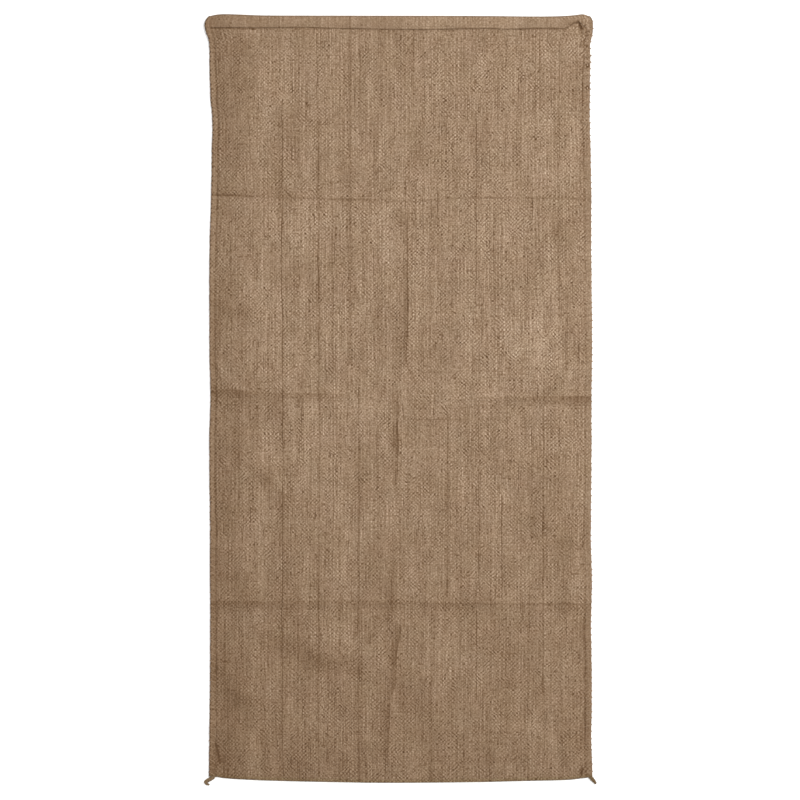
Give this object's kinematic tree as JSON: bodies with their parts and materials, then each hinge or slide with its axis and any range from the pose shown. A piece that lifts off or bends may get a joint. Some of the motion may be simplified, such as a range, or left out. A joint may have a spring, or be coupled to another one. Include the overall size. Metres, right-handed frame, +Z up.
{
  "type": "jute sack",
  "caption": "Empty jute sack lying flat: one folded length of coarse plain-woven cloth, overcast side seams and a turned hem round the open mouth.",
  "frame": {"origin": "centre of the sack's outline, on the ground that its back layer lies on", "axes": "+Y towards the open mouth, +X across the sack, +Z up from the back layer to the front layer"},
  "size_m": [0.6157, 1.2091, 0.0128],
  "materials": {
    "jute_cloth": "matt, coarse plain-woven natural jute",
    "jute_twine": "matt, twisted natural jute twine"
  },
  "bodies": {
    "root": {"sack_cloth": "jute_cloth", "seam_twine_left": "jute_twine", "seam_twine_right": "jute_twine"}
  },
  "joints": []
}
